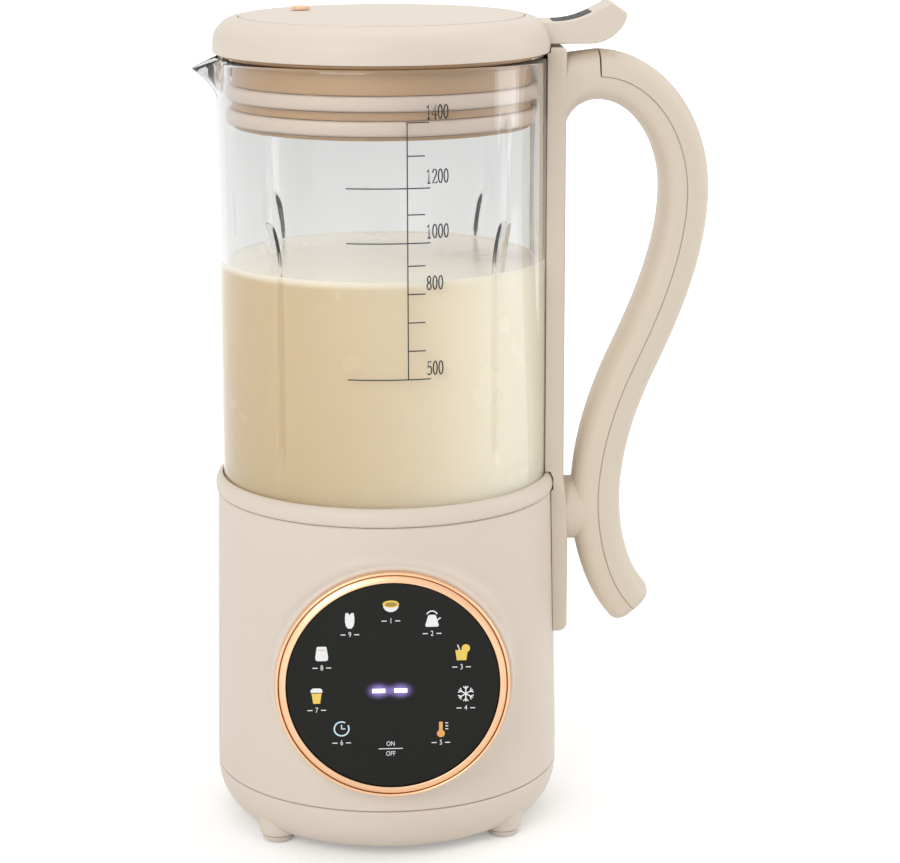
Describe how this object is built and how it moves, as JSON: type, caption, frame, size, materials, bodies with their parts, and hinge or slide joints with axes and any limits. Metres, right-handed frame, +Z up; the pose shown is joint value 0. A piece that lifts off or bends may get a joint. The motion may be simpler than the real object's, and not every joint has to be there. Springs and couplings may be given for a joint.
{
  "type": "nut milk maker",
  "caption": "Countertop nut milk maker: a glass blending jug with spout on a round heated base, with a round touch panel, a curved handle and a lift-off lid.",
  "frame": {"origin": "middle of the bounding box at the level of the feet", "axes": "+Z up, the touch panel faces -Y, the handle is on +X and the spout on -X"},
  "size_m": [0.188, 0.1364, 0.3041],
  "materials": {
    "cream_plastic": "satin cream",
    "tan_plastic": "satin tan",
    "pale_silicone": "soft and matt",
    "panel_black_glass": "gloss black, printed on the back",
    "black_plastic": "fine texture",
    "rose_gold": "polished rose gold",
    "clear_glass": "clear",
    "foot_rubber": "pale and matt",
    "seal_rubber": "matt",
    "grip_rubber": "matt",
    "steel": "brushed",
    "cast_aluminium": "as cast",
    "lamination_steel": "stacked sheets",
    "copper_winding": "copper, varnished",
    "circuit_board": "solder mask",
    "white_plastic": "plain",
    "peach_plastic": "satin"
  },
  "bodies": {
    "machine": {"base_housing": "cream_plastic", "base_screw_front_left": "steel", "base_screw_front_right": "steel", "base_screw_rear_left": "steel", "base_screw_rear_right": "steel", "bottom_cover": "cream_plastic", "brush_holder_left": "black_plastic", "brush_holder_right": "black_plastic", "capacitor": "black_plastic", "display_board": "circuit_board", "field_coil_front": "copper_winding", "field_coil_rear": "copper_winding", "foot_front_left": "foot_rubber", "foot_front_right": "foot_rubber", "foot_rear_left": "foot_rubber", "foot_rear_right": "foot_rubber", "glass_jug": "clear_glass", "handle_inner_shell": "cream_plastic", "handle_outer_shell": "cream_plastic", "handle_screw_lower": "steel", "handle_screw_upper": "steel", "heating_element": "steel", "heating_plate": "steel", "jug_collar": "cream_plastic", "jug_gasket": "pale_silicone", "lid_reed_switch": "clear_glass", "lower_bearing": "steel", "motor_bracket_lower": "cast_aluminium", "motor_bracket_upper": "cast_aluminium", "panel_frame": "black_plastic", "panel_glass": "panel_black_glass", "panel_ring": "rose_gold", "power_board": "circuit_board", "power_inlet": "black_plastic", "relay": "white_plastic", "shaft_seal": "seal_rubber", "stator_core": "lamination_steel", "temperature_sensor": "steel", "transformer": "black_plastic", "upper_bearing": "steel"},
    "rotor": {"motor_shaft": "steel", "armature_core": "lamination_steel", "armature_winding_upper": "copper_winding", "armature_winding_lower": "copper_winding", "commutator": "copper_winding", "cooling_fan": "white_plastic", "lower_blade": "steel", "upper_blade": "steel", "blade_spacer": "steel", "blade_nut": "steel"},
    "lid": {"lid_cover": "cream_plastic", "lid_top_disc": "cream_plastic", "lid_tab_pad": "grip_rubber", "lid_plug": "tan_plastic", "lid_seal_upper": "pale_silicone", "lid_seal_lower": "pale_silicone", "lid_magnet": "steel"},
    "steam_vent": {"steam_vent_cap": "peach_plastic"}
  },
  "joints": [
    {"name": "rotor_spin", "type": "hinge", "parent": "machine", "child": "rotor", "pos_m": [-0.02515, 0.0013, 0.0765], "axis": [0, 0, 1], "continuous": true},
    {"name": "lid_lift", "type": "slide", "parent": "machine", "child": "lid", "axis": [0, 0, 1], "range_m": [0, 0.06]},
    {"name": "vent_lift", "type": "slide", "parent": "lid", "child": "steam_vent", "axis": [0, 0, 1], "range_m": [0, 0.003]}
  ]
}
